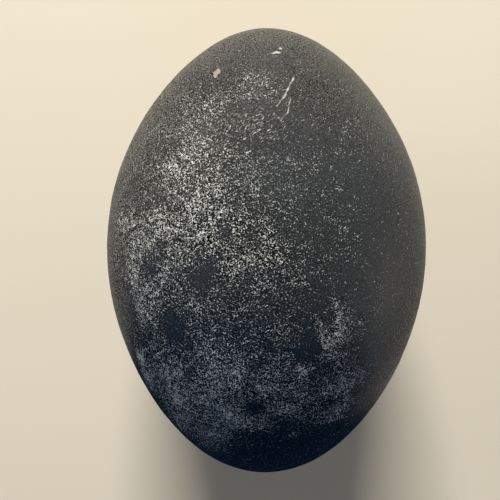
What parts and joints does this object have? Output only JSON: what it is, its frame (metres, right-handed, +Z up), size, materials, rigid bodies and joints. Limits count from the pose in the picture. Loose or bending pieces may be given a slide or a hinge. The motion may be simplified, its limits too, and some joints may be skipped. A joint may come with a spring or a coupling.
{
  "type": "emu egg",
  "caption": "Large near-black egg of a flightless bird, with a grainy worn shell and small chips, lying on its side on a small flat spot.",
  "frame": {"origin": "on the floor, under the middle of the box round the egg", "axes": "+Y along the egg towards its blunt end, +Z up out of the side that the picture shows, +X to the picture's right"},
  "size_m": [0.0894, 0.1292, 0.0893],
  "materials": {
    "shell": "dull grainy eggshell with pale worn specks"
  },
  "bodies": {
    "root": {"emu_egg": "shell"}
  },
  "joints": []
}
